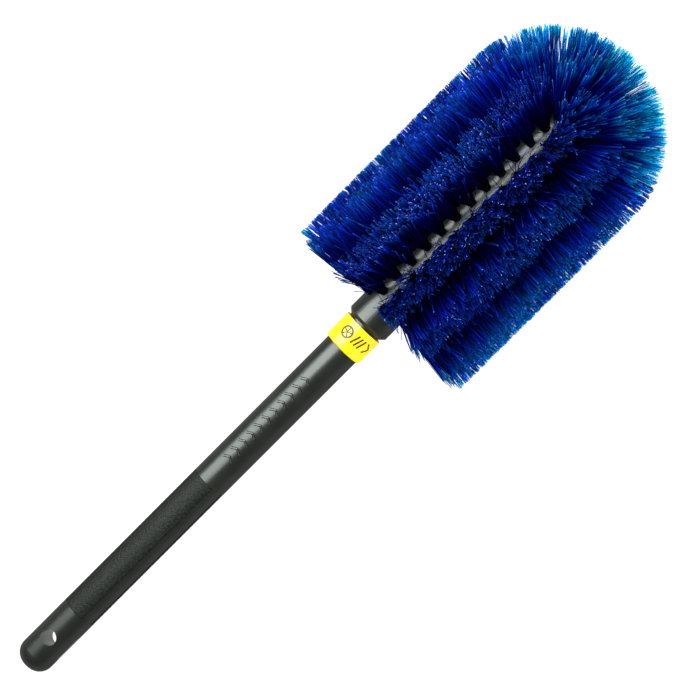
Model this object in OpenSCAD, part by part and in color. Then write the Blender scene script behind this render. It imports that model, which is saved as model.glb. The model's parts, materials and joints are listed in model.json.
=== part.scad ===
// Wheel brush: a moulded handle with a snap-on band, and a one-piece flexible core set with tufts.
// Lengths are in millimetres. The brush is drawn along its own axis, from the handle's free end at
// x = 0 to the head's tip, and lying() then lays it on a flat surface as it comes to rest.
// The origin is on that surface, in the middle of the footprint, and +X points to the head.

/* [Handle] */
// Diameter of the handle
handle_d = 20.4; // [20:0.1:26]
// Length of the handle, from its free end to the face that meets the core
handle_l = 259; // [240:1:300]
// Radius that rounds the handle's free end
handle_end_r = 8.5; // [4:0.5:9.5]
// Distance of the hanging hole from the free end
hang_x = 21.4; // [16:0.1:30]
// Diameter of the hanging hole
hang_d = 9.2; // [5:0.1:10]

/* [Grip] */
// Distance of the grip panels from the free end
grip_x = 41.3; // [36:0.1:50]
// Length of the grip panels
grip_l = 99.7; // [60:0.1:110]
// Angle that each of the two grip panels covers
grip_angle = 140; // [100:5:150]
// Angle from the top of the handle to the middle of the first panel
grip_turn = -35; // [-60:5:60]
// Depth of the grip panels below the handle's surface
grip_depth = 0.3; // [0.2:0.05:0.5]

/* [Raised marks] */
// Distance of the first raised mark from the free end
mark_x = 159; // [150:1:170]
// Number of raised marks
marks = 11; // [5:1:11]
// Distance between two marks
mark_pitch = 5.8; // [5:0.1:6]
// Height of a mark across the handle
mark_w = 6; // [4:0.5:8]
// Width of each mark's line at its top
mark_line = 0.7; // [0.5:0.1:1.5]
// How far the marks stand above the handle
mark_rise = 0.5; // [0.2:0.05:0.8]
// Slope of the marks' sides: how much wider each side gets in a millimetre
mark_slope = 0.7; // [0.2:0.1:1]
// Angle from the top of the handle to the line of marks
mark_turn = 3; // [-30:1:30]

/* [Band] */
// Outside diameter of the band
band_d = 23.2; // [22.6:0.1:28]
// Width of the band
band_w = 16; // [12:0.5:18]
// Radius on the band's edge that faces the handle
band_edge_r = 1.3; // [0.5:0.1:1.5]
// Depth of the groove that the band snaps into
band_groove = 0.5; // [0.3:0.1:0.8]

/* [Core] */
// Diameter of the core
core_d = 25.4; // [24:0.1:30]
// Diameter of the core's shank, which the handle holds
shank_d = 13; // [11:0.5:14]
// Length of the core's shank
shank_l = 45; // [30:1:50]
// Chamfer on the core's shoulder
core_chamfer = 1.9; // [1:0.1:2.5]
// Diameter of the cross pin that holds the shank
pin_d = 3; // [2:0.5:4]

/* [Tufts] */
// Diameter of the head over the tufts
head_d = 118; // [100:1:126]
// Distance from the core's shoulder to the first ring of tufts
bare_l = 15; // [12:0.5:20]
// Distance between two rings of tufts
ring_pitch = 5.4; // [5.2:0.1:6]
// Diameter of a tuft where it leaves the core
tuft_root_d = 4; // [3.6:0.1:4]
// Diameter of a tuft at its tip
tuft_tip_d = 10; // [6:0.5:10]
// Depth of the tuft holes round the core
tuft_depth = 8; // [6:0.5:8]
// Depth of the tuft holes in the core's dome
dome_tuft_depth = 4; // [3.5:0.5:4]
// Number of rings, counted from the dome, that lean towards the tip
leaning_rings = 3; // [0:1:4]
// Angle by which each of those rings leans more than the one before
lean_step = 4; // [0:1:6]

/* [Hidden] */
$fn = 64;
gap = 0.1;                 // clearance between parts that fit together
rows = 12;                 // rows of tufts along the core
row_tufts = 12;            // tufts in each row
rings = 2 * row_tufts;     // neighbouring rows are half a pitch apart, so rings alternate
first_row_angle = 15;      // from the top, turning towards -Y
dome_latitudes = [22, 38, 60];  // of the three rings of tufts in the dome
dome_tufts = 6;            // in each of those rings
anchor = [3.9, 0.5, 1.8];  // the flat staple that holds a tuft: width, thickness and height
anchor_lift = 1.2;         // from the bottom of a tuft hole to the middle of its anchor

handle_r = handle_d / 2;
core_r = core_d / 2;
head_r = head_d / 2;
shank_r = shank_d / 2;
band_end_x = handle_l - 1.4;
groove_r = handle_r - band_groove;
pin_x = band_end_x - band_w / 2;
pin_l = 2 * groove_r - 1;
tuft_l = head_r - core_r;
tuft_root_r = tuft_root_d / 2;
tuft_tip_r = tuft_tip_d / 2;
hole_r = tuft_root_r + gap;
dome_x = handle_l + bare_l + (rings - 1) * ring_pitch;
row_step = 360 / rows;

// How the brush lies: a plane touches the handle's rounded end and the first ring's lowest tufts.
end_drop = handle_r - handle_end_r;
rest_x = handle_l + bare_l - tuft_tip_r;
rest_drop = head_r * cos(first_row_angle) + tuft_tip_r * sin(first_row_angle);
span = norm([rest_x - handle_end_r, rest_drop - end_drop]);
tilt = atan2(rest_drop - end_drop, rest_x - handle_end_r) - asin(handle_end_r / span);
axis_lift = handle_end_r + end_drop * cos(tilt) - handle_end_r * sin(tilt);
back_x = handle_end_r * cos(tilt) - end_drop * sin(tilt) - handle_end_r;
front_x = (dome_x + head_r) * cos(tilt) + tuft_tip_r * sin(tilt);

function two_digits(n) = n < 10 ? str("0", n) : str(n);
function tuft_row_name(row) = str("tuft_row_", two_digits(row + 1));
function anchor_row_name(row) = str("anchor_row_", two_digits(row + 1));
function dome_ring_name(ring) = str("dome_tufts_", two_digits(ring + 1));
function ring_x(ring) = handle_l + bare_l + ring * ring_pitch;
function ring_lean(ring) = max(0, ring - (rings - 1 - leaning_rings)) * lean_step;

// Lays the brush on its resting surface.
module lying() {
    translate([-(back_x + front_x) / 2, 0, axis_lift])
        rotate([0, -tilt, 0])
            children();
}

// Turns a shape that stands along +Z so that it lies along +X.
module along_x(x = 0) {
    translate([x, 0, 0])
        rotate([0, 90, 0])
            children();
}

// A ring-shaped prism round the brush's axis, from x to x + l.
module tube(x, l, inner_r, outer_r) {
    along_x(x)
        difference() {
            cylinder(r = outer_r, h = l);
            translate([0, 0, -1])
                cylinder(r = inner_r, h = l + 2);
        }
}

// A solid of revolution about the brush's axis: its outline's Y is the distance along the axis.
module turned() {
    along_x()
        rotate_extrude()
            children();
}

// Handle

module handle_outline() {
    square([end_drop, handle_end_r]);
    intersection() {
        translate([end_drop, handle_end_r])
            circle(r = handle_end_r);
        square([handle_r, handle_end_r]);
    }
    translate([0, handle_end_r])
        square([handle_r, handle_l - handle_end_r]);
}

// The sector of a grip panel, out to well past the handle's surface.
module grip_sector(turn) {
    reach = 3 * handle_r;
    half = grip_angle / 2;
    rotate([turn, 0, 0])
        translate([grip_x, 0, 0])
            rotate([90, 0, 90])
                linear_extrude(grip_l)
                    polygon([
                        [0, 0],
                        reach * [sin(-half), cos(half)],
                        reach * [-sin(half) / 2, 1.2],
                        reach * [sin(half) / 2, 1.2],
                        reach * [sin(half), cos(half)]
                    ]);
}

module grip_recess(turn) {
    intersection() {
        tube(grip_x, grip_l, handle_r - grip_depth, handle_r + 1);
        grip_sector(turn);
    }
}

// One arm of a raised mark: a ridge with sloping sides, square to the handle at its middle.
module mark_arm(side) {
    half = mark_w / 2;
    nose = mark_w / 3;
    l = norm([nose, half]) + 0.3;
    top = handle_r + mark_rise;
    foot = handle_r - 1;
    foot_w = mark_line + 2 * mark_slope * (top - foot);
    rotate([-side * asin(half / 2 / handle_r), 0, 0])
        rotate([0, 0, side * atan2(nose, half)])
            translate([0, l / 2, 0])
                rotate([90, 0, 0])
                    linear_extrude(l)
                        polygon([
                            [-foot_w / 2, foot],
                            [foot_w / 2, foot],
                            [mark_line / 2, top],
                            [-mark_line / 2, top]
                        ]);
}

// The raised marks: chevrons that point along the handle.
module raised_marks() {
    for (n = [0:marks - 1], side = [-1, 1])
        translate([mark_x + n * mark_pitch, 0, 0])
            rotate([mark_turn, 0, 0])
                mark_arm(side);
}

module handle() {
    color([0.05, 0.05, 0.05])
        lying()
            difference() {
                union() {
                    turned()
                        handle_outline();
                    raised_marks();
                }
                tube(band_end_x - band_w - gap, band_w + 2 * gap, groove_r, handle_r + 1);
                grip_recess(grip_turn);
                grip_recess(grip_turn + 180);
                along_x(handle_l - shank_l - 2)
                    cylinder(r = shank_r + gap, h = shank_l + 3);
                translate([hang_x, 0, -handle_d])
                    cylinder(d = hang_d, h = 2 * handle_d);
                translate([pin_x, 0, -handle_d])
                    cylinder(d = pin_d + 2 * gap, h = 2 * handle_d);
            }
}

// Band and pin

module band_outline() {
    inner_r = groove_r + gap;
    wall = band_d / 2 - inner_r;
    translate([inner_r, band_edge_r])
        square([wall, band_w - band_edge_r]);
    translate([inner_r, 0])
        square([wall - band_edge_r, band_edge_r]);
    intersection() {
        translate([band_d / 2 - band_edge_r, band_edge_r])
            circle(r = band_edge_r);
        translate([band_d / 2 - band_edge_r, 0])
            square([band_edge_r, band_edge_r]);
    }
}

module band() {
    color([1, 0.93, 0])
        lying()
            translate([band_end_x - band_w, 0, 0])
                turned()
                    band_outline();
}

module retaining_pin() {
    color("silver")
        lying()
            translate([pin_x, 0, -pin_l / 2])
                cylinder(d = pin_d, h = pin_l);
}

// Places for the tufts: each child stands on the core's surface, with +Z out along its tuft.

module at_row(row) {
    for (n = [0:row_tufts - 1]) {
        ring = 2 * n + row % 2;
        translate([ring_x(ring), 0, 0])
            rotate([first_row_angle + row * row_step, 0, 0])
                translate([0, 0, core_r])
                    rotate([0, ring_lean(ring), 0])
                        children();
    }
}

module at_dome_ring(ring) {
    turn = first_row_angle + (ring % 2) * row_step;
    for (n = [0:dome_tufts - 1])
        translate([dome_x, 0, 0])
            rotate([turn + n * 360 / dome_tufts, 0, 0])
                rotate([0, dome_latitudes[ring], 0])
                    translate([0, 0, core_r])
                        children();
}

module at_tip() {
    along_x(dome_x + core_r)
        children();
}

// Core

module core_outline() {
    translate([0, handle_l - shank_l])
        square([shank_r, shank_l + 1]);
    polygon([
        [0, handle_l],
        [core_r - core_chamfer, handle_l],
        [core_r, handle_l + core_chamfer],
        [core_r, dome_x],
        [0, dome_x]
    ]);
    intersection() {
        translate([0, dome_x])
            circle(r = core_r);
        translate([0, dome_x])
            square([core_r, core_r]);
    }
}

module tuft_hole(depth) {
    translate([0, 0, -depth])
        cylinder(r = hole_r, h = depth + 2);
}

module brush_core() {
    color([0.08, 0.08, 0.08])
        lying()
            difference() {
                turned()
                    core_outline();
                translate([pin_x, 0, -core_r])
                    cylinder(d = pin_d + 2 * gap, h = core_d);
                for (row = [0:rows - 1])
                    at_row(row)
                        tuft_hole(tuft_depth);
                for (ring = [0:len(dome_latitudes) - 1])
                    at_dome_ring(ring)
                        tuft_hole(dome_tuft_depth);
                at_tip()
                    tuft_hole(dome_tuft_depth);
            }
}

// Tufts and their anchors

// A bundle of bristles folded over its anchor: a plug in its hole, which opens out to its tip.
module tuft(depth) {
    difference() {
        union() {
            translate([0, 0, gap - depth])
                cylinder(r = tuft_root_r, h = depth);
            translate([0, 0, gap])
                cylinder(r1 = tuft_root_r, r2 = tuft_tip_r, h = tuft_l - gap);
        }
        translate([0, 0, anchor_lift - depth])
            cube([tuft_root_d + 1, anchor[1] + 2 * gap, anchor[2] + 2 * gap], center = true);
    }
}

module tuft_anchor(depth) {
    translate([0, 0, anchor_lift - depth])
        cube(anchor, center = true);
}

module tuft_row(row) {
    color([0.02, 0.12, 0.75])
        lying()
            at_row(row)
                tuft(tuft_depth);
}

module dome_ring(ring) {
    color([0.02, 0.12, 0.75])
        lying()
            at_dome_ring(ring)
                tuft(dome_tuft_depth);
}

module tip_tuft() {
    color([0.02, 0.12, 0.75])
        lying()
            at_tip()
                tuft(dome_tuft_depth);
}

module anchor_row(row) {
    color("gray")
        lying()
            at_row(row)
                tuft_anchor(tuft_depth);
}

module dome_anchors() {
    color("gray")
        lying() {
            for (ring = [0:len(dome_latitudes) - 1])
                at_dome_ring(ring)
                    tuft_anchor(dome_tuft_depth);
            at_tip()
                tuft_anchor(dome_tuft_depth);
        }
}

handle();
band();
retaining_pin();
brush_core();
for (row = [0:rows - 1]) {
    tuft_row(row);
    anchor_row(row);
}
for (ring = [0:len(dome_latitudes) - 1])
    dome_ring(ring);
tip_tuft();
dome_anchors();
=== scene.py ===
"""The wheel brush's looks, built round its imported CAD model.

Lengths are in metres. "Along" is the brush's own axis, which starts at the handle's free end,
"rise" is square to it and upwards, and "side" completes the set and is level.
"""

import json
import math
from collections import namedtuple

import bmesh
import bpy
import numpy as np
from mathutils import Matrix, Vector


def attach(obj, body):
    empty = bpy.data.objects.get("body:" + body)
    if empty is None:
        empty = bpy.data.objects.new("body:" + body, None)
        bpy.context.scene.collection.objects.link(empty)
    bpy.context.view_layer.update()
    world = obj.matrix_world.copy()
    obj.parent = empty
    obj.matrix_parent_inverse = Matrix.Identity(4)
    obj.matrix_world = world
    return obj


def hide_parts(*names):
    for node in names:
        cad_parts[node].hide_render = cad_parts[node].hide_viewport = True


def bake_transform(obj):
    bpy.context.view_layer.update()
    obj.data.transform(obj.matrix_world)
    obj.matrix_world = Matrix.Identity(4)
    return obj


MM = 0.001
SEED = 846
WELD = 0.001 * MM  # vertices nearer than this are one

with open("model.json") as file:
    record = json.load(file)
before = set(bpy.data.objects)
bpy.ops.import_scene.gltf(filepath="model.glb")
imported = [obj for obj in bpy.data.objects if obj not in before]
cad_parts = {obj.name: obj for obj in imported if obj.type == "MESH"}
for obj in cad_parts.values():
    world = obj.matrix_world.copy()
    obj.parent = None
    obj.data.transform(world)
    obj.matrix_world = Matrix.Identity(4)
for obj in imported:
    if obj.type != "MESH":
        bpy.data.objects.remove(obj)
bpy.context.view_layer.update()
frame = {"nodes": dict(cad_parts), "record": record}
record = frame["record"]
scene = bpy.context.scene


# ---- The brush's own axis, from the record and the CAD nodes

def points_of(node):
    """A CAD node's vertices, one row each."""
    mesh = frame["nodes"][node].data
    flat = np.empty(len(mesh.vertices) * 3)
    mesh.vertices.foreach_get("co", flat)
    return flat.reshape(-1, 3)


hang_hole = next(m for m in record["mounts"] if m["name"] == "hang_hole")
core_bend = next(j for j in record["behaviour"]["joints"] if j["name"] == "core_bend")
HOLE = np.array(hang_hole["pos_m"], float)
ALONG = np.array(core_bend["pos_m"], float) - HOLE
ALONG /= np.linalg.norm(ALONG)
RISE = np.array(hang_hole["axis"], float)
RISE /= np.linalg.norm(RISE)
SIDE = np.cross(RISE, ALONG)
START = HOLE + ALONG * ((points_of("handle") - HOLE) @ ALONG).min()
AXES = np.stack([ALONG, SIDE, RISE])


def to_brush(points):
    """Row frame to the brush's own axes: along, side and rise."""
    return (points - START) @ AXES.T


def to_row(points):
    """The brush's own axes back to the row frame."""
    return START + points @ AXES


def span_along(node):
    """Where a CAD node starts and ends along the brush."""
    along = to_brush(points_of(node))[:, 0]
    return along.min(), along.max()


def radius_of(node):
    """A CAD node's largest distance from the brush's axis."""
    return np.linalg.norm(to_brush(points_of(node))[:, 1:], axis=1).max()


BODY_R = radius_of("brush_core")
HEAD_TIP = span_along("tip_tuft")[1]
HEAD_R = HEAD_TIP - span_along("brush_core")[1] + BODY_R
DOME_ALONG = HEAD_TIP - HEAD_R
HANDLE_END = span_along("handle")[1]


# ---- Camera

CAMERA_DISTANCE = 1.2555
CAMERA_LENS = 122.4              # in mm, as the sensor's width
CAMERA_SENSOR = 36.0
CAMERA_NEAR = 0.05               # where its view starts
CAMERA_ROUND = math.radians(13)  # how far round the brush from its top, towards -side
CAMERA_AHEAD = math.radians(6)   # how far it stands towards the head from square to the brush
AIM_ALONG = 0.2439               # the picture's centre, along the brush
AIM_OFF = 0.0033                 # and off its axis


def look_axes():
    """The picture's right, up and towards-the-viewer directions, with the brush at 45 degrees,
    and the direction across the brush in the picture."""
    off_side = math.cos(CAMERA_ROUND) * RISE - math.sin(CAMERA_ROUND) * SIDE
    toward = math.cos(CAMERA_AHEAD) * off_side + math.sin(CAMERA_AHEAD) * ALONG
    brush = ALONG - toward * (ALONG @ toward)
    brush /= np.linalg.norm(brush)
    across = np.cross(toward, brush)
    return (brush - across) / math.sqrt(2), (brush + across) / math.sqrt(2), toward, across


RIGHT, UP, TOWARD, ACROSS = look_axes()
AIM = START + ALONG * AIM_ALONG - ACROSS * AIM_OFF


def add_camera():
    """The camera, which looks at AIM with the brush at 45 degrees in the picture."""
    data = bpy.data.cameras.new("camera")
    data.sensor_width = CAMERA_SENSOR
    data.lens = CAMERA_LENS
    data.clip_start = CAMERA_NEAR
    camera = bpy.data.objects.new("camera", data)
    scene.collection.objects.link(camera)
    place = Matrix(np.column_stack([RIGHT, UP, TOWARD]).tolist()).to_4x4()
    place.translation = Vector(AIM + TOWARD * CAMERA_DISTANCE)
    camera.matrix_world = place
    scene.camera = camera


add_camera()


# ---- Node helpers

def new_material(name):
    """An empty node material: its tree and its output node."""
    material = bpy.data.materials.new(name)
    material.use_nodes = True
    tree = material.node_tree
    tree.nodes.clear()
    return material, tree, tree.nodes.new("ShaderNodeOutputMaterial")


def principled(tree, roughness, **inputs):
    """A Principled shader. Its inputs' names are given with underscores for spaces."""
    node = tree.nodes.new("ShaderNodeBsdfPrincipled")
    node.inputs["Roughness"].default_value = roughness
    for name, value in inputs.items():
        node.inputs[name.replace("_", " ")].default_value = value
    return node


def colour_ramp(tree, factor, stops):
    """The colour at factor on a ramp with (position, colour) stops."""
    node = tree.nodes.new("ShaderNodeValToRGB")
    elements = node.color_ramp.elements
    while len(elements) < len(stops):
        elements.new(0.5)
    for element, (position, colour) in zip(elements, stops):
        element.position = position
        element.color = (*colour, 1)
    tree.links.new(factor, node.inputs["Fac"])
    return node.outputs["Color"]


def noise(tree, scale, detail=3.0, roughness=0.55):
    """The factor of a noise texture that stays on the piece, with scale waves to the metre."""
    place = tree.nodes.new("ShaderNodeTexCoord").outputs["Object"]
    node = tree.nodes.new("ShaderNodeTexNoise")
    node.inputs["Scale"].default_value = scale
    node.inputs["Detail"].default_value = detail
    node.inputs["Roughness"].default_value = roughness
    tree.links.new(place, node.inputs["Vector"])
    return node.outputs["Fac"]


def add_relief(tree, shader, height, strength, distance):
    """Roughens the shader's surface with the given height."""
    node = tree.nodes.new("ShaderNodeBump")
    node.inputs["Strength"].default_value = strength
    node.inputs["Distance"].default_value = distance
    tree.links.new(height, node.inputs["Height"])
    tree.links.new(node.outputs["Normal"], shader.inputs["Normal"])


def ranged(tree, value, low, high):
    """value, from 0 to 1, stretched to low to high."""
    node = tree.nodes.new("ShaderNodeMapRange")
    node.inputs["To Min"].default_value = low
    node.inputs["To Max"].default_value = high
    tree.links.new(value, node.inputs["Value"])
    return node.outputs["Result"]


def multiplied(tree, first, second):
    """One colour times another."""
    node = tree.nodes.new("ShaderNodeMix")
    node.data_type = "RGBA"
    node.blend_type = "MULTIPLY"
    node.inputs["Factor"].default_value = 1.0
    colours = [socket for socket in node.inputs if socket.type == "RGBA"]
    tree.links.new(first, colours[0])
    tree.links.new(second, colours[1])
    return next(socket for socket in node.outputs if socket.type == "RGBA")


def math_node(tree, operation, first, second):
    """The result of a sum on a socket and a second socket or number."""
    node = tree.nodes.new("ShaderNodeMath")
    node.operation = operation
    tree.links.new(first, node.inputs[0])
    if isinstance(second, float):
        node.inputs[1].default_value = second
    else:
        tree.links.new(second, node.inputs[1])
    return node.outputs["Value"]


# ---- Materials

FIBRE = "fibre"         # the colour attribute that tells the bristles' shaders about each one
CLEAR_POWER = 6.0       # the higher, the nearer to the tip a filament starts to let light through
FLOOR_GLOW = 1.0        # the floor as the camera sees it
FLOOR_MIRRORED = 0.03   # in reflections
FLOOR_LIGHT = 0.95      # and as it lights the brush


def moulded_black(name, dark, pale, smooth, rough, grain):
    """Black moulded plastic or elastomer: faint mottling, fine grain and uneven gloss."""
    material, tree, output = new_material(name)
    mottle = noise(tree, scale=90)
    fine = noise(tree, scale=1800, detail=2)
    shader = principled(tree, smooth, Specular_IOR_Level=1.0)
    colour = colour_ramp(tree, mottle, [(0.3, dark), (0.7, pale)])
    tree.links.new(colour, shader.inputs["Base Color"])
    tree.links.new(ranged(tree, mottle, smooth, rough), shader.inputs["Roughness"])
    add_relief(tree, shader, fine, strength=grain, distance=0.05 * MM)
    tree.links.new(shader.outputs["BSDF"], output.inputs["Surface"])
    return material


def grained_black():
    """Matt black plastic with a coarse moulded grain. Its colour is darker in the grain's hollows
    and paler on its crests: painted shade and painted light.
    """
    painted_shade_hollow, painted_light_crest = (0.001, 0.0015, 0.001), (0.010, 0.0135, 0.010)
    material, tree, output = new_material("grip_black")
    grain = noise(tree, scale=900, detail=2, roughness=0.7)
    shader = principled(tree, roughness=0.6, Specular_IOR_Level=0.4)
    # painted shade in the grain's hollows and painted light on its crests, from the bump's own noise
    colour = colour_ramp(tree, grain, [(0.38, painted_shade_hollow), (0.62, painted_light_crest)])
    tree.links.new(colour, shader.inputs["Base Color"])
    add_relief(tree, shader, grain, strength=0.9, distance=0.35 * MM)
    tree.links.new(shader.outputs["BSDF"], output.inputs["Surface"])
    return material


def yellow_plastic():
    """Glossy yellow moulding with a faint orange-peel surface."""
    deep, light = (1.0, 0.62, 0.002), (1.0, 0.69, 0.003)
    material, tree, output = new_material("band_yellow")
    mottle = noise(tree, scale=60)
    peel = noise(tree, scale=500, detail=1)
    shader = principled(tree, roughness=0.25, Specular_IOR_Level=0.8)
    colour = colour_ramp(tree, mottle, [(0.3, deep), (0.7, light)])
    tree.links.new(colour, shader.inputs["Base Color"])
    add_relief(tree, shader, peel, strength=0.15, distance=0.05 * MM)
    tree.links.new(shader.outputs["BSDF"], output.inputs["Surface"])
    return material


def band_ink():
    """Dark printing ink, worn thin in places."""
    thick, thin = (0.035, 0.018, 0.004), (0.16, 0.09, 0.01)
    material, tree, output = new_material("band_ink")
    wear = noise(tree, scale=700)
    shader = principled(tree, roughness=0.4)
    colour = colour_ramp(tree, wear, [(0.45, thick), (0.75, thin)])
    tree.links.new(colour, shader.inputs["Base Color"])
    tree.links.new(shader.outputs["BSDF"], output.inputs["Surface"])
    return material


def drawn_steel():
    """Plain grey steel with uneven gloss."""
    material, tree, output = new_material("drawn_steel")
    scratches = noise(tree, scale=900)
    shader = principled(tree, roughness=0.35, Metallic=1.0, Base_Color=(0.6, 0.6, 0.6, 1))
    tree.links.new(ranged(tree, scratches, 0.25, 0.45), shader.inputs["Roughness"])
    tree.links.new(shader.outputs["BSDF"], output.inputs["Surface"])
    return material


def fibre_channels(tree):
    """The fibre colour of the bristles' meshes: share of the length, each one's own tone, and
    how clear its tip is."""
    fibre = tree.nodes.new("ShaderNodeAttribute")
    fibre.attribute_name = FIBRE
    split = tree.nodes.new("ShaderNodeSeparateColor")
    tree.links.new(fibre.outputs["Color"], split.inputs["Color"])
    return split.outputs["Red"], split.outputs["Green"], split.outputs["Blue"]


def bristle_nylon():
    """Blue nylon filament. Each one has its own tone and lets light through at its tip. Its colour
    is darkened towards the root, painted shade for the crowded bundle there."""
    tones = [(0.0, (0.0, 0.001, 0.013)), (0.5, (0.0, 0.0045, 0.21)), (1.0, (0.0, 0.018, 0.74))]
    painted_root_shade = [(0.1, (0.25, 0.25, 0.3)), (0.6, (0.8, 0.8, 0.85)), (1.0, (1.0, 1.0, 1.0))]
    glows = [(0.0, (0.0, 0.33, 0.5)), (0.5, (0.01, 0.53, 0.68)), (1.0, (0.05, 0.78, 0.85))]
    material, tree, output = new_material("bristle_nylon")
    length, tone, clearness = fibre_channels(tree)
    shader = principled(tree, roughness=0.45, Specular_IOR_Level=0.04)
    # the dyed colour times painted shade that darkens each filament towards its root
    base = multiplied(tree, colour_ramp(tree, tone, tones), colour_ramp(tree, length, painted_root_shade))
    tree.links.new(base, shader.inputs["Base Color"])
    through = tree.nodes.new("ShaderNodeBsdfTranslucent")
    tree.links.new(colour_ramp(tree, tone, glows), through.inputs["Color"])
    near_tip = math_node(tree, "POWER", length, CLEAR_POWER)
    both = tree.nodes.new("ShaderNodeMixShader")
    tree.links.new(math_node(tree, "MULTIPLY", near_tip, clearness), both.inputs["Fac"])
    tree.links.new(shader.outputs["BSDF"], both.inputs[1])
    tree.links.new(through.outputs["BSDF"], both.inputs[2])
    tree.links.new(both.outputs["Shader"], output.inputs["Surface"])
    return material


def bristle_cut():
    """The filaments' cut ends. A few of them, by their tone, get a pale colour that is a painted
    glint.
    """
    plain, painted_glint = (0.0, 0.006, 0.25), (0.4, 0.55, 0.9)
    material, tree, output = new_material("bristle_cut")
    tone = fibre_channels(tree)[1]
    shader = principled(tree, roughness=0.3, Specular_IOR_Level=0.25)
    # the palest tones get a painted glint
    colour = colour_ramp(tree, tone, [(0.88, plain), (0.95, painted_glint)])
    tree.links.new(colour, shader.inputs["Base Color"])
    tree.links.new(shader.outputs["BSDF"], output.inputs["Surface"])
    return material


def by_ray(tree, seen, mirrored, other):
    """One number for what the camera sees, one for reflections and one for all other light."""
    rays = tree.nodes.new("ShaderNodeLightPath")
    unseen = ranged(tree, rays.outputs["Is Glossy Ray"], other, mirrored)
    choice = tree.nodes.new("ShaderNodeMix")
    tree.links.new(rays.outputs["Is Camera Ray"], choice.inputs["Factor"])
    tree.links.new(unseen, choice.inputs["A"])
    choice.inputs["B"].default_value = seen
    return choice.outputs["Result"]


def pale_floor():
    """A floor that glows white, so that shadows on it stay faint. Gloss mirrors it as nearly
    dark, which keeps the black parts black."""
    material, tree, output = new_material("pale_floor")
    grey, white = (0.12, 0.12, 0.12, 1), (1, 1, 1, 1)
    shader = principled(tree, roughness=0.9, Base_Color=grey, Emission_Color=white)
    glow = by_ray(tree, FLOOR_GLOW, FLOOR_MIRRORED, FLOOR_LIGHT)
    tree.links.new(glow, shader.inputs["Emission Strength"])
    tree.links.new(shader.outputs["BSDF"], output.inputs["Surface"])
    return material


HANDLE_BLACK = moulded_black(
    "handle_black",
    dark=(0.007, 0.0085, 0.006),
    pale=(0.011, 0.0125, 0.009),
    smooth=0.30,
    rough=0.36,
    grain=0.12,
)
GRIP_BLACK = grained_black()
CORE_BLACK = moulded_black(
    "core_black",
    dark=(0.008, 0.009, 0.007),
    pale=(0.014, 0.015, 0.012),
    smooth=0.28,
    rough=0.36,
    grain=0.1,
)
BAND_YELLOW = yellow_plastic()
BAND_INK = band_ink()
STEEL = drawn_steel()
NYLON = bristle_nylon()
NYLON_CUT = bristle_cut()


# ---- Mesh helpers

def link_mesh(name, vertices, faces, material):
    """A new object in the scene from plain lists of vertices and faces."""
    mesh = bpy.data.meshes.new(name)
    mesh.from_pydata([tuple(v) for v in vertices], [], [tuple(f) for f in faces])
    mesh.update()
    mesh.materials.append(material)
    piece = bpy.data.objects.new(name, mesh)
    scene.collection.objects.link(piece)
    return piece


def paint_node(node, material):
    """Gives a CAD node that stays in view its material."""
    piece = frame["nodes"][node]
    piece.data.materials.clear()
    piece.data.materials.append(material)


def on_cylinder(along, angle, radius):
    """Points round the brush's axis: angle 0 is its top and grows towards -side."""
    return to_row(np.stack([along, -radius * np.sin(angle), radius * np.cos(angle)], axis=-1))


# ---- Bristle tufts

# filaments: in each tuft; fan: how far the tips spread, along the brush and across it; strays:
# share of the filaments that stand out of line; trim: unevenness of the cut; tone: their usual
# one, from 0, dark, to 1, pale; clearness: of their tips, more where light comes in from outside
Tufts = namedtuple("Tufts", "filaments fan strays trim tone clearness")
ROW = Tufts(135, (12.5 * MM, 8.8 * MM), 0.15, 1.0 * MM, 0.43, 0.41)
DOME = Tufts(170, (14.8 * MM, 14.8 * MM), 0.06, 1.9 * MM, 0.53, 0.7)
STEPS = 5                      # rings of vertices along a filament
SIDES = 3
FILAMENT_R = 0.22 * MM
ROOT_R = 1.85 * MM             # of the bundle where it leaves the core
ROOT_SUNK = 2.0 * MM           # how far below the core's surface a filament starts
STRAIGHT = 0.05                # share of its length before a filament leaves its bundle
BOW = 0.45 * MM                # of a filament, half-way
BACK_FAN = 4.8 * MM            # how far the first ring's fans reach back, towards the handle
BACK_RANGE = (0.3, 1.0)        # shares of it, for the filaments that would reach further
OWN_HABITS = {"tuft_row_01": (-3.3 * MM, 1.5 * MM)}  # a row's lean towards side, and back fan
CLUMPS = 22                    # knots of filaments that keep together in a tuft
CLUMPING = 0.5                 # share of the way that a tip moves to its clump's middle
CLUMPING_RANGE = (0.3, 1.3)    # shares of it, from filament to filament
NOISE = 0.06                   # of a tip's place in its fan, as a share of the fan
STRAY_NOISE = 0.6              # the same of a stray's
TUFT_LEAN = 1.1 * MM           # unevenness of the tufts' own directions, at their tips
FAN_SPREAD = 0.06              # unevenness of the fans' sizes, as a share
LENGTH_SPREAD = 0.004          # of the filaments' lengths
RADIUS_SPREAD = 0.1            # of their radii
TONE_SPREAD = 0.3              # and of their tones
CLEARNESS_RANGE = (0.6, 1.3)   # shares of the kind's clearness, from tuft to tuft
CUT_RANGE = (0.7, 1.25)        # where a filament's cut is looked for, as shares of its length
CUT_HALVINGS = 18
END_FLAT = 0.05 * MM           # how flat a CAD tuft's ends are
FLOOR_GAP = 0.3 * MM           # between the lowest bristles and the floor
MAP_NAME = "OFBake"
MAP_EDGE = 0.01                # left free at the sides of the map
MAP_WIDTH = 0.008              # of one filament's strip on it
MAP_SIDES = (0.05, 0.8)        # where a filament's length lies in its tuft's band
MAP_CUT = (0.86, 0.95)         # and its cut ends


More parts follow.
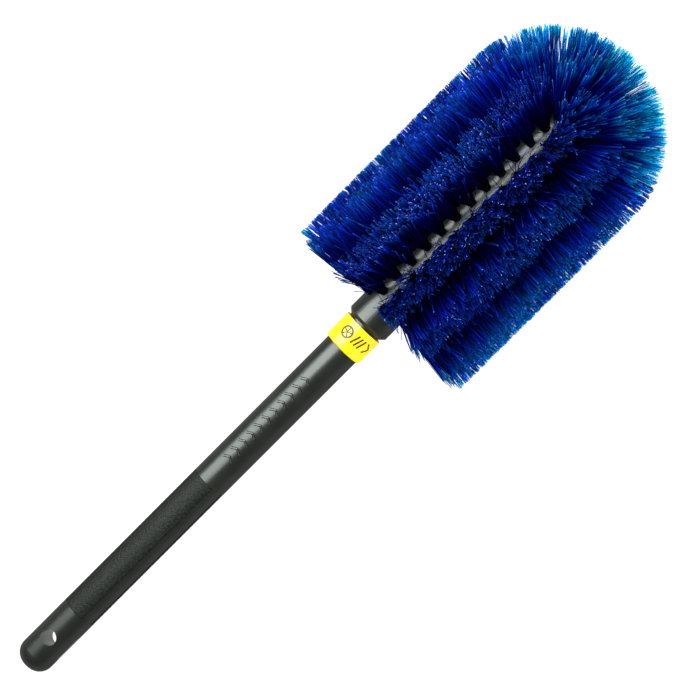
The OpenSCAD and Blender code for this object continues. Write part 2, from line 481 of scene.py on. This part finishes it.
def loose_parts(mesh):
    """The places of the vertices of each separate solid in a mesh."""
    work = bmesh.new()
    work.from_mesh(mesh)
    bmesh.ops.remove_doubles(work, verts=work.verts, dist=WELD)
    seen = set()
    parts = []
    for first in work.verts:
        if first in seen:
            continue
        seen.add(first)
        part = [first]
        for vertex in part:
            for edge in vertex.link_edges:
                other = edge.other_vert(vertex)
                if other not in seen:
                    seen.add(other)
                    part.append(other)
        parts.append(np.array([v.co for v in part]))
    work.free()
    return parts


def tuft_places(node):
    """(tip, direction) of each tuft in a CAD node, in the row frame."""
    places = []
    for part in loose_parts(frame["nodes"][node].data):
        middle = part.mean(axis=0)
        direction = np.linalg.svd(part - middle)[2][0]
        local = to_brush(middle[None])[0]
        local[0] = max(0.0, local[0] - DOME_ALONG)
        if (direction @ AXES.T) @ local < 0:
            direction = -direction
        reach = (part - middle) @ direction
        tip = part[reach > reach.max() - END_FLAT].mean(axis=0)
        butt = part[reach < reach.min() + END_FLAT].mean(axis=0)
        axis = (tip - butt) / np.linalg.norm(tip - butt)
        places.append((tip, axis))
    return places


def first_ring_along():
    """How far along the brush the tips are in the ring of tufts nearest the handle."""
    places = tuft_places("tuft_row_01") + tuft_places("tuft_row_02")
    return min(to_brush(tip)[0] for tip, _ in places)


FIRST_RING = first_ring_along()
NEARLY_ALONG = ALONG + 0.01 * SIDE  # so that it isn't parallel to the tip's tuft


def square_to(direction):
    """Two directions square to each of the given ones: along the brush as far as it goes, and
    across it."""
    across = np.cross(direction, NEARLY_ALONG)
    across /= np.linalg.norm(across, axis=-1, keepdims=True)
    return np.cross(across, direction), across


def head_distance(points):
    """Distance from the head's middle line, which ends at the centre of its dome."""
    local = to_brush(points)
    past = np.maximum(0.0, local[..., 0] - DOME_ALONG)
    return np.sqrt(past**2 + local[..., 1] ** 2 + local[..., 2] ** 2)


def disc_points(random, count):
    """count points spread evenly over a unit disc."""
    turn = random.uniform(0, 2 * math.pi, count)
    out = np.sqrt(random.uniform(0, 1, count))
    return np.stack([out * np.cos(turn), out * np.sin(turn)], axis=1)


def clumped(random, points):
    """The points, each drawn towards the nearest of a few of them."""
    middles = points[:CLUMPS]
    distance = np.linalg.norm(points[:, None] - middles[None], axis=2)
    nearest = middles[distance.argmin(axis=1)]
    share = CLUMPING * random.uniform(*CLUMPING_RANGE, (len(points), 1))
    return points + (nearest - points) * share


def filament_paths(random, tip, direction, kind, lean, back_fan):
    """Middle lines of one tuft's filaments, (filaments, STEPS, 3), each cut at the head's outline."""
    count = kind.filaments
    plane = np.stack(square_to(direction))
    length = HEAD_R - BODY_R
    root = tip - direction * (length + ROOT_SUNK)
    inner = disc_points(random, count)
    noise_share = np.where(random.uniform(0, 1, count) < kind.strays, STRAY_NOISE, NOISE)
    jitter = random.normal(0, 1, (count, 2)) * noise_share[:, None]
    outer = (clumped(random, inner) + jitter) * kind.fan * random.normal(1.0, FAN_SPREAD)
    outer = outer + random.normal(0, TUFT_LEAN, 2) + [0.0, lean]
    start = ROOT_R * inner @ plane
    spread = outer @ plane
    back = spread @ ALONG + (to_brush(tip)[0] - FIRST_RING)
    nearer = -back_fan * random.uniform(*BACK_RANGE, count)
    pushed = np.where(back < -back_fan, nearer - back, 0.0)
    spread = spread + pushed[:, None] * ALONG - start
    bow = random.normal(0, BOW, (count, 2)) @ plane
    full = (length + ROOT_SUNK) * random.normal(1.0, LENGTH_SPREAD, count)
    cut = HEAD_R - np.abs(random.normal(0, kind.trim, count))

    def at(s):
        """The filaments' points at share s of their uncut length."""
        straight = (full * s)[:, None] * direction
        opened = spread * np.maximum(0.0, s - STRAIGHT)[:, None]
        return root + start + straight + opened + bow * (4 * s * (1 - s))[:, None]

    low, high = (np.full(count, share) for share in CUT_RANGE)
    for _ in range(CUT_HALVINGS):
        middle = (low + high) / 2
        beyond = head_distance(at(middle)) > cut
        high = np.where(beyond, middle, high)
        low = np.where(beyond, low, middle)
    end = (low + high) / 2
    shares = np.linspace(0, 1, STEPS)
    return np.stack([at(end * share) for share in shares], axis=1)


def add_fibre_map(mesh, tones, per_tuft):
    """A UV map to bake into. It has a band for each tuft, with tone across and
    the length upwards, so that filaments of one tone share their place on the picture."""
    count = len(tones)
    left = (MAP_EDGE + (1 - 2 * MAP_EDGE - MAP_WIDTH) * tones)[:, None]
    band = per_tuft / count
    bottom = (np.arange(count) // per_tuft * band)[:, None]
    across = np.array([0, 1, 1, 0]) * MAP_WIDTH
    quads = []
    for step in range(STEPS - 1):
        share = (step + np.array([0, 0, 1, 1])) / (STEPS - 1)
        upwards = band * (MAP_SIDES[0] + (MAP_SIDES[1] - MAP_SIDES[0]) * share)
        place = np.stack([left + across, bottom + upwards], axis=-1)
        quads.append(np.repeat(place, SIDES, axis=0))
    corner_across = np.arange(SIDES) % 2 * MAP_WIDTH
    corner_up = band * (MAP_CUT[0] + (MAP_CUT[1] - MAP_CUT[0]) * (np.arange(SIDES) > 1))
    cut = np.stack([left + corner_across, bottom + corner_up], axis=-1)
    loops = np.concatenate([place.reshape(-1, 2) for place in (*quads, cut, cut)])
    mesh.uv_layers.new(name=MAP_NAME).data.foreach_set("uv", loops.reshape(-1))


def tube_faces(count):
    """The side faces and the end faces of count tubes, each with STEPS rings of vertices."""
    first = np.arange(count)[:, None] * STEPS * SIDES
    ring = np.arange(SIDES)
    after = (ring + 1) % SIDES
    sides = []
    for step in range(STEPS - 1):
        near, far = step * SIDES, (step + 1) * SIDES
        quads = np.stack([near + ring, near + after, far + after, far + ring], axis=-1)
        sides.append((first[:, None] + quads).reshape(-1, 4))
    last_ring = (STEPS - 1) * SIDES + ring
    caps = np.concatenate([first + ring[::-1], first + last_ring])
    return np.concatenate(sides).tolist(), caps.tolist()


def filament_mesh(name, paths, random, kind):
    """One mesh of closed tubes, with the fibre colour that the bristles' shaders read."""
    count = len(paths)
    along = np.gradient(paths, axis=1)
    along /= np.linalg.norm(along, axis=-1, keepdims=True)
    aside, other = square_to(along)
    turn = random.uniform(0, 2 * math.pi, count)[:, None] + np.arange(SIDES) * 2 * math.pi / SIDES
    radius = FILAMENT_R * random.normal(1.0, RADIUS_SPREAD, count)
    around = (
        np.cos(turn)[:, None, :, None] * aside[:, :, None, :]
        + np.sin(turn)[:, None, :, None] * other[:, :, None, :]
    )
    vertices = paths[:, :, None, :] + around * radius[:, None, None, None]
    vertices[..., 2] = np.maximum(vertices[..., 2], FLOOR_GAP)
    vertices = vertices.reshape(-1, 3)
    sides, caps = tube_faces(count)
    piece = link_mesh(name, vertices, sides + caps, NYLON)
    piece.data.materials.append(NYLON_CUT)
    tones = np.clip(random.normal(kind.tone, TONE_SPREAD, count), 0, 1)
    share = np.linspace(0, 1, STEPS)
    colour = np.ones((count, STEPS, SIDES, 4))
    colour[..., 0] = share[None, :, None]
    colour[..., 1] = tones[:, None, None]
    before_first = to_brush(paths[:, -1])[:, 0] < FIRST_RING
    clear = np.where(before_first, DOME.clearness, kind.clearness)
    by_tuft = random.uniform(*CLEARNESS_RANGE, count // kind.filaments)
    colour[..., 2] = (clear * np.repeat(by_tuft, kind.filaments))[:, None, None]
    add_fibre_map(piece.data, tones, kind.filaments)
    layer = piece.data.color_attributes.new(FIBRE, "FLOAT_COLOR", "POINT")
    layer.data.foreach_set("color", colour.reshape(-1))
    for face in piece.data.polygons:
        is_side = len(face.vertices) == 4
        face.use_smooth = is_side
        face.material_index = 0 if is_side else 1
    return piece


def add_tufts():
    """Replaces each CAD node of tufts with its filaments."""
    nodes = sorted(n for n in frame["nodes"] if n.startswith(("tuft_row", "dome_tufts", "tip_tuft")))
    for number, node in enumerate(nodes):
        random = np.random.default_rng(SEED + number)
        kind = ROW if node.startswith("tuft_row") else DOME
        lean, back_fan = OWN_HABITS.get(node, (0.0, BACK_FAN))
        paths = np.concatenate([
            filament_paths(random, tip, direction, kind, lean, back_fan)
            for tip, direction in tuft_places(node)
        ])
        piece = filament_mesh(node + "_filaments", paths, random, kind)
        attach(piece, "head")
        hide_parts(node)


add_tufts()


# ---- Core

BEND_START = HANDLE_END + 2.0 * MM
BEND_PAST = 3.0 * MM           # how far past the start of the first tufts it bends
BEND_LENGTH = 9.0 * MM         # at least
BEND_CUTS = 14
CORE_EDGE = math.radians(35)   # sharper edges stay sharp


def add_core():
    """The core, cut across often enough at its bare neck that it bends there smoothly."""
    source = frame["nodes"]["brush_core"]
    rows = [name for name in frame["nodes"] if name.startswith("tuft_row")]
    first_tuft = min(span_along(name)[0] for name in rows)
    bend_end = max(first_tuft + BEND_PAST, BEND_START + BEND_LENGTH)
    work = bmesh.new()
    work.from_mesh(source.data)
    bmesh.ops.remove_doubles(work, verts=work.verts, dist=WELD)
    for cut in np.linspace(BEND_START, bend_end, BEND_CUTS):
        bmesh.ops.bisect_plane(
            work,
            geom=work.verts[:] + work.edges[:] + work.faces[:],
            plane_co=Vector(START + ALONG * cut),
            plane_no=Vector(ALONG),
        )
    mesh = bpy.data.meshes.new("core")
    work.to_mesh(mesh)
    work.free()
    for face in mesh.polygons:
        face.use_smooth = True
    mesh.materials.clear()
    mesh.materials.append(CORE_BLACK)
    core = bpy.data.objects.new("core", mesh)
    scene.collection.objects.link(core)
    edges = core.modifiers.new("edges", "EDGE_SPLIT")
    edges.split_angle = CORE_EDGE
    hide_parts("brush_core")
    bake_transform(core)


add_core()


# ---- Grip panels

GRIP_DEPTH = 0.3 * MM          # of the recess that each panel fills
GRIP_FROM_END = 30 * MM        # the recesses start further than this from the handle's end
GRIP_FROM_BAND = 5 * MM        # and stop further than this from the band
GRIP_MARGIN = 0.05 * MM
GRIP_CELL = 0.3 * MM           # of the panel's mesh
GRIP_HALF = math.radians(70)   # half of a panel's reach round the handle
GRIP_TURN = math.radians(-35)  # the upper panel's middle, from the brush's top
GRAIN = 1.6 * MM               # distance between two grains
GRAIN_RISE = 0.24 * MM
GRAIN_DEEP = 0.3               # height, from 0 to 1, that lies half-way up the recess
GRAIN_LATTICE = 0.38           # share of the heights that comes from the lattice of grains
GRAIN_SWELL = 0.12             # and from slow waves
WAVE_SIZE = (0.3, 0.6)
WAVE_TURN = (0.5, 2.5)         # in radians to the millimetre
GRIP_SEED = SEED + 100


def grain_field(random, along, across):
    """Heights of moulded grains, from 0 to 1: a staggered lattice with uneven places and sizes."""

    def wave():
        """A wave of a random size and direction."""
        size = random.uniform(*WAVE_SIZE)
        phase = along / MM * random.uniform(*WAVE_TURN) + across / MM * random.uniform(*WAVE_TURN)
        return size * np.sin(phase + random.uniform(0, 2 * math.pi))

    shift_along, shift_across, swell = (sum(wave() for _ in range(4)) for _ in range(3))
    turn = 2 * math.pi / GRAIN
    lattice = np.cos(turn * along + shift_along) * np.cos(turn * across + shift_across)
    return np.clip(0.5 + GRAIN_LATTICE * lattice + GRAIN_SWELL * swell, 0, 1)


def grid_faces(rows, columns, first=0, flip=False):
    """The faces of a grid of points whose numbers start at first."""
    index = first + np.arange(rows * columns).reshape(rows, columns)
    quads = np.stack(
        [index[:-1, :-1], index[:-1, 1:], index[1:, 1:], index[1:, :-1]], axis=-1
    ).reshape(-1, 4)
    return quads[:, ::-1] if flip else quads


def rim_of(rows, columns):
    """The numbers of a grid's border points, in order round it."""
    index = np.arange(rows * columns).reshape(rows, columns)
    return np.concatenate([index[0], index[1:, -1], index[-1, -2::-1], index[-2:0:-1, 0]])


def add_grip_panel(name, turn, random):
    """One panel of moulded grain, a closed skin that fills its recess in the handle."""
    start, end = GRIP_FROM + GRIP_MARGIN, GRIP_TO - GRIP_MARGIN
    half = GRIP_HALF - GRIP_MARGIN / HANDLE_R
    rows = int((end - start) / GRIP_CELL)
    columns = int(2 * half * HANDLE_R / GRIP_CELL)
    lengths = np.linspace(start, end, rows)
    turns = np.linspace(turn - half, turn + half, columns)
    along, angle = np.meshgrid(lengths, turns, indexing="ij")
    floor = HANDLE_R - GRIP_DEPTH
    grains = grain_field(random, along, angle * HANDLE_R)
    radius = floor + GRIP_DEPTH / 2 + (grains - GRAIN_DEEP) * GRAIN_RISE
    top = on_cylinder(along, angle, radius)
    bottom = on_cylinder(along, angle, np.full_like(along, floor - GRIP_MARGIN))
    count = rows * columns
    rim = rim_of(rows, columns)
    after = np.roll(rim, -1)
    wall = np.stack([rim, after, after + count, rim + count], axis=-1)
    outside, inside = grid_faces(rows, columns, flip=True), grid_faces(rows, columns, first=count)
    vertices = np.concatenate([top.reshape(-1, 3), bottom.reshape(-1, 3)])
    piece = link_mesh(name, vertices, np.concatenate([outside, inside, wall]), GRIP_BLACK)
    for face in piece.data.polygons:
        face.use_smooth = True
    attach(piece, "handle")


def grip_span():
    """Where the recesses start and end: the only flat steps between the hole and the marks."""
    local = to_brush(points_of("handle"))
    radius = np.linalg.norm(local[:, 1:], axis=1)
    floor = np.abs(radius - (HANDLE_R - GRIP_DEPTH)) < GRIP_DEPTH / 10
    past_hole = local[:, 0] > GRIP_FROM_END
    before_band = local[:, 0] < span_along("band")[0] - GRIP_FROM_BAND
    along = local[floor & past_hole & before_band, 0]
    return along.min(), along.max()


HANDLE_R = hang_hole["dims"]["length_mm"] / 2 * MM
GRIP_FROM, GRIP_TO = grip_span()
add_grip_panel("grip_panel_upper", GRIP_TURN, np.random.default_rng(GRIP_SEED))
add_grip_panel("grip_panel_lower", GRIP_TURN + math.pi, np.random.default_rng(GRIP_SEED + 1))


# ---- Print on the band: a wheel, three slanted bars and an arrow, in plain strokes

INK_RISE = 0.05 * MM
PRINT_PLACE = 0.58             # its middle, as a share of the band's width
PRINT_TURN = math.radians(18)  # from the brush's top, towards -side
PRINT_HALF = 3.0 * MM          # how far the bars and the arrowhead reach each way from its middle
STROKE = 0.95 * MM             # width of the lines
SPOKE_STROKE = 0.65 * MM
WHEEL_R = 3.1 * MM
WHEEL_AT = -5.6 * MM           # its middle, round the band
WHEEL_SIDES = 32
SPOKES = 5
BARS = 3
BAR_AT = -0.6 * MM             # where the first bar starts
BAR_PITCH = 2.3 * MM
BAR_SLANT = 2.0 * MM
ARROW_AT = 8.0 * MM
ARROW_LENGTH = 3.0 * MM


def stroke(points, closed=False, width=STROKE, pieces=8):
    """The two edges of a flat line of the given width through the points, with so many pieces
    from each point to the next."""
    points = np.array(points, float)
    if closed:
        points = np.concatenate([points, points[:1]])
    fine = [points[0]]
    for a, b in zip(points[:-1], points[1:]):
        share = np.linspace(0, 1, pieces + 1)[1:, None]
        fine.extend(a + (b - a) * share)
    fine = np.array(fine)
    ahead = np.gradient(fine, axis=0)
    if closed:
        ahead[0] = ahead[-1] = fine[1] - fine[-2]
    ahead /= np.linalg.norm(ahead, axis=1, keepdims=True)
    aside = np.stack([-ahead[:, 1], ahead[:, 0]], axis=1) * width / 2
    return fine + aside, fine - aside


def band_print():
    """The strokes' flat outlines: first along the brush, then round the band."""
    turn = np.linspace(0, 2 * math.pi, WHEEL_SIDES + 1)[:-1]
    ring = WHEEL_R * np.stack([np.cos(turn), np.sin(turn)], axis=1)
    wheel = np.array([0.0, WHEEL_AT])
    lines = [stroke(wheel + ring, closed=True, pieces=1)]
    for n in range(SPOKES):
        angle = 2 * math.pi * n / SPOKES
        spoke = WHEEL_R * np.array([math.cos(angle), math.sin(angle)])
        lines.append(stroke([wheel, wheel + spoke], width=SPOKE_STROKE, pieces=3))
    for n in range(BARS):
        start = BAR_AT + n * BAR_PITCH
        lines.append(stroke([(-PRINT_HALF, start), (PRINT_HALF, start + BAR_SLANT)]))
    point = (0.0, ARROW_AT + ARROW_LENGTH)
    lines.append(stroke([(-PRINT_HALF, ARROW_AT), point, (PRINT_HALF, ARROW_AT)]))
    return lines


def add_band_print():
    """Thin ink films that follow the band's surface."""
    start, end = span_along("band")
    middle = start + PRINT_PLACE * (end - start)
    radius = radius_of("band")
    vertices, faces = [], []
    for edges in band_print():
        count = len(edges[0])
        first = sum(len(points) for points in vertices)
        for rise in (INK_RISE, -INK_RISE):
            for edge in edges:
                angle = PRINT_TURN + edge[:, 1] / radius
                height = np.full(count, radius + rise)
                vertices.append(on_cylinder(middle + edge[:, 0], angle, height))
        near = first + np.arange(count - 1)
        for a, b in ((0, 1), (1, 3), (3, 2), (2, 0)):
            side = [a * count + near, b * count + near, b * count + near + 1, a * count + near + 1]
            faces.extend(np.stack(side, axis=-1).tolist())
        for place in (0, count - 1):
            faces.append([first + k * count + place for k in (0, 1, 3, 2)])
    piece = link_mesh("band_print", np.concatenate(vertices), faces, BAND_INK)
    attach(piece, "handle")


add_band_print()


# ---- Handle, band and hidden steel parts

paint_node("handle", HANDLE_BLACK)
paint_node("band", BAND_YELLOW)
paint_node("retaining_pin", STEEL)
for name in frame["nodes"]:
    if name.startswith(("anchor_row", "dome_anchors")):
        paint_node(name, STEEL)


# ---- Stage and light

LIGHT_DISTANCE = 0.9
LIGHT_AHEAD = 0.11              # how far towards the head a light's middle is
LIGHT_COLOUR = (0.92, 1.0, 0.96)
KEY_ANGLE = math.radians(40)    # from the camera's direction, across the brush
KEY_SIZE = (1.1, 0.95)          # along the brush, and across it
KEY_POWER = 20
FILL_ANGLE = math.radians(-64)  # the other way
FILL_SIZE = (1.1, 0.5)
FILL_POWER = 8.0
SHEET_HEIGHT = 0.1 * MM         # of the lights that lie on the floor
TABLE_SIZE = (0.3, 0.32)        # along X and Y
TABLE_ALONG = 0.44              # its middle, under the head's far end
TABLE_ASIDE = 0.05              # and towards the side away from the camera
TABLE_POWER = 5.5
HOLE_LIGHT_SIZE = (0.016, 0.03)
HOLE_LIGHT_POWER = 0.0011
FLOOR_SIZE = 12.0
WORLD_SEEN = 1.0                # the backdrop as the camera sees it
WORLD_MIRRORED = 0.08           # in reflections
WORLD_LIGHT = 0.45              # and as it lights the brush


def add_floor():
    """The plain floor that the brush lies on."""
    half = FLOOR_SIZE / 2
    corners = [(-half, -half, 0), (half, -half, 0), (half, half, 0), (-half, half, 0)]
    floor = link_mesh("floor", corners, [(0, 1, 2, 3)], pale_floor())


def new_area_light(name, size, power):
    """A rectangular light that lies level and shines down, until it is placed."""
    data = bpy.data.lights.new(name, "AREA")
    data.shape = "RECTANGLE"
    data.size, data.size_y = size
    data.energy = power
    light = bpy.data.objects.new(name, data)
    scene.collection.objects.link(light)
    return light


def add_studio_light(name, angle, size, power):
    """A light that faces the brush, at an angle across it from the camera's direction."""
    light = new_area_light(name, size, power)
    light.data.color = LIGHT_COLOUR
    toward = math.cos(angle) * TOWARD + math.sin(angle) * ACROSS
    toward /= np.linalg.norm(toward)
    along = ALONG - toward * (ALONG @ toward)
    along /= np.linalg.norm(along)
    place = Matrix(np.column_stack([along, np.cross(toward, along), toward]).tolist()).to_4x4()
    place.translation = Vector(AIM + toward * LIGHT_DISTANCE + ALONG * LIGHT_AHEAD)
    light.matrix_world = place
    return light


def add_floor_light(name, middle, size, power):
    """A bright sheet on the floor below middle that shines upwards. The camera doesn't see it."""
    light = new_area_light(name, size, power)
    light.location = (middle[0], middle[1], SHEET_HEIGHT)
    light.rotation_euler = (math.pi, 0, 0)
    light.visible_camera = False
    return light


def add_world():
    """A white backdrop that lights the brush only weakly, so that the key light shapes it."""
    world = bpy.data.worlds.new("studio")
    world.use_nodes = True
    tree = world.node_tree
    background = tree.nodes["Background"]
    background.inputs["Color"].default_value = (1, 1, 1, 1)
    strength = by_ray(tree, WORLD_SEEN, WORLD_MIRRORED, WORLD_LIGHT)
    tree.links.new(strength, background.inputs["Strength"])
    scene.world = world


add_floor()
add_studio_light("key", KEY_ANGLE, KEY_SIZE, KEY_POWER)
fill = add_studio_light("fill", FILL_ANGLE, FILL_SIZE, FILL_POWER)
fill.visible_glossy = False  # it only softens the shadows
under_head = START + ALONG * TABLE_ALONG + SIDE * TABLE_ASIDE
table = add_floor_light("light_table", under_head, TABLE_SIZE, TABLE_POWER)
table.visible_glossy = False
# The wall of the hanging hole mirrors this one.
add_floor_light("hole_light", HOLE, HOLE_LIGHT_SIZE, HOLE_LIGHT_POWER)
add_world()
scene.view_settings.view_transform = "Standard"
